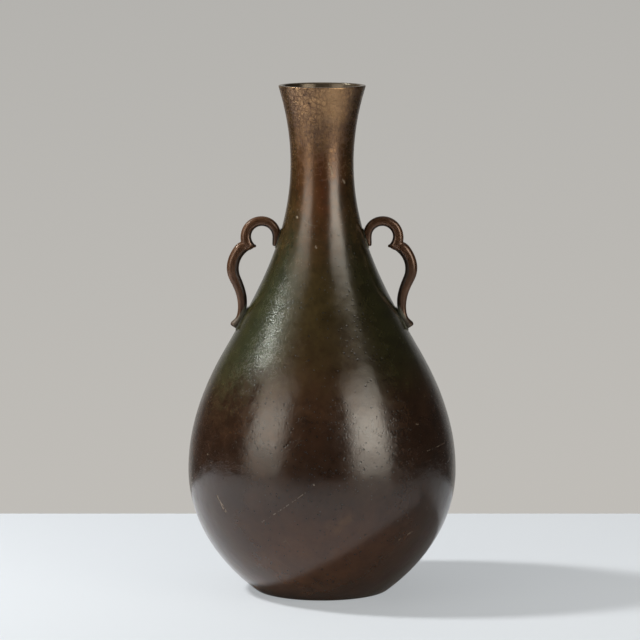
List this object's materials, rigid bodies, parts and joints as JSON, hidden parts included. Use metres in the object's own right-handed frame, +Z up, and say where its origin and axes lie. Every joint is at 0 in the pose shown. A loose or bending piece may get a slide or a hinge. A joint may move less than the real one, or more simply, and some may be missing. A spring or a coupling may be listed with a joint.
{
  "type": "bronze hu vessel",
  "caption": "Pear-shaped bronze bottle vase with a waisted neck, a flared open mouth, a low foot and a fixed scroll handle on each side of the neck; holds water or stands as an ornament.",
  "frame": {"origin": "middle of the foot, on the surface that the vessel stands on", "axes": "+Z up along the vessel's axis, the handles in the XZ plane with the right one on +X, the pictured side towards -Y"},
  "size_m": [0.1588, 0.1588, 0.3],
  "materials": {
    "body_bronze": "dark brown patina, olive on the shoulders, worn tan at the mouth, satin gloss",
    "handle_bronze": "reddish brown patina, rubbed to a soft gloss",
    "plate_bronze": "dull dark brown patina",
    "pin_bronze": "peened, dull brown",
    "solder": "dull grey-green"
  },
  "bodies": {
    "root": {"vessel_bowl": "body_bronze", "vessel_shoulder": "body_bronze", "vessel_neck": "body_bronze", "base_plate": "plate_bronze", "base_solder": "solder", "left_handle": "handle_bronze", "right_handle": "handle_bronze", "left_upper_pin": "pin_bronze", "left_lower_pin": "pin_bronze", "right_upper_pin": "pin_bronze", "right_lower_pin": "pin_bronze", "left_upper_solder": "solder", "left_lower_solder": "solder", "right_upper_solder": "solder", "right_lower_solder": "solder"}
  },
  "joints": []
}
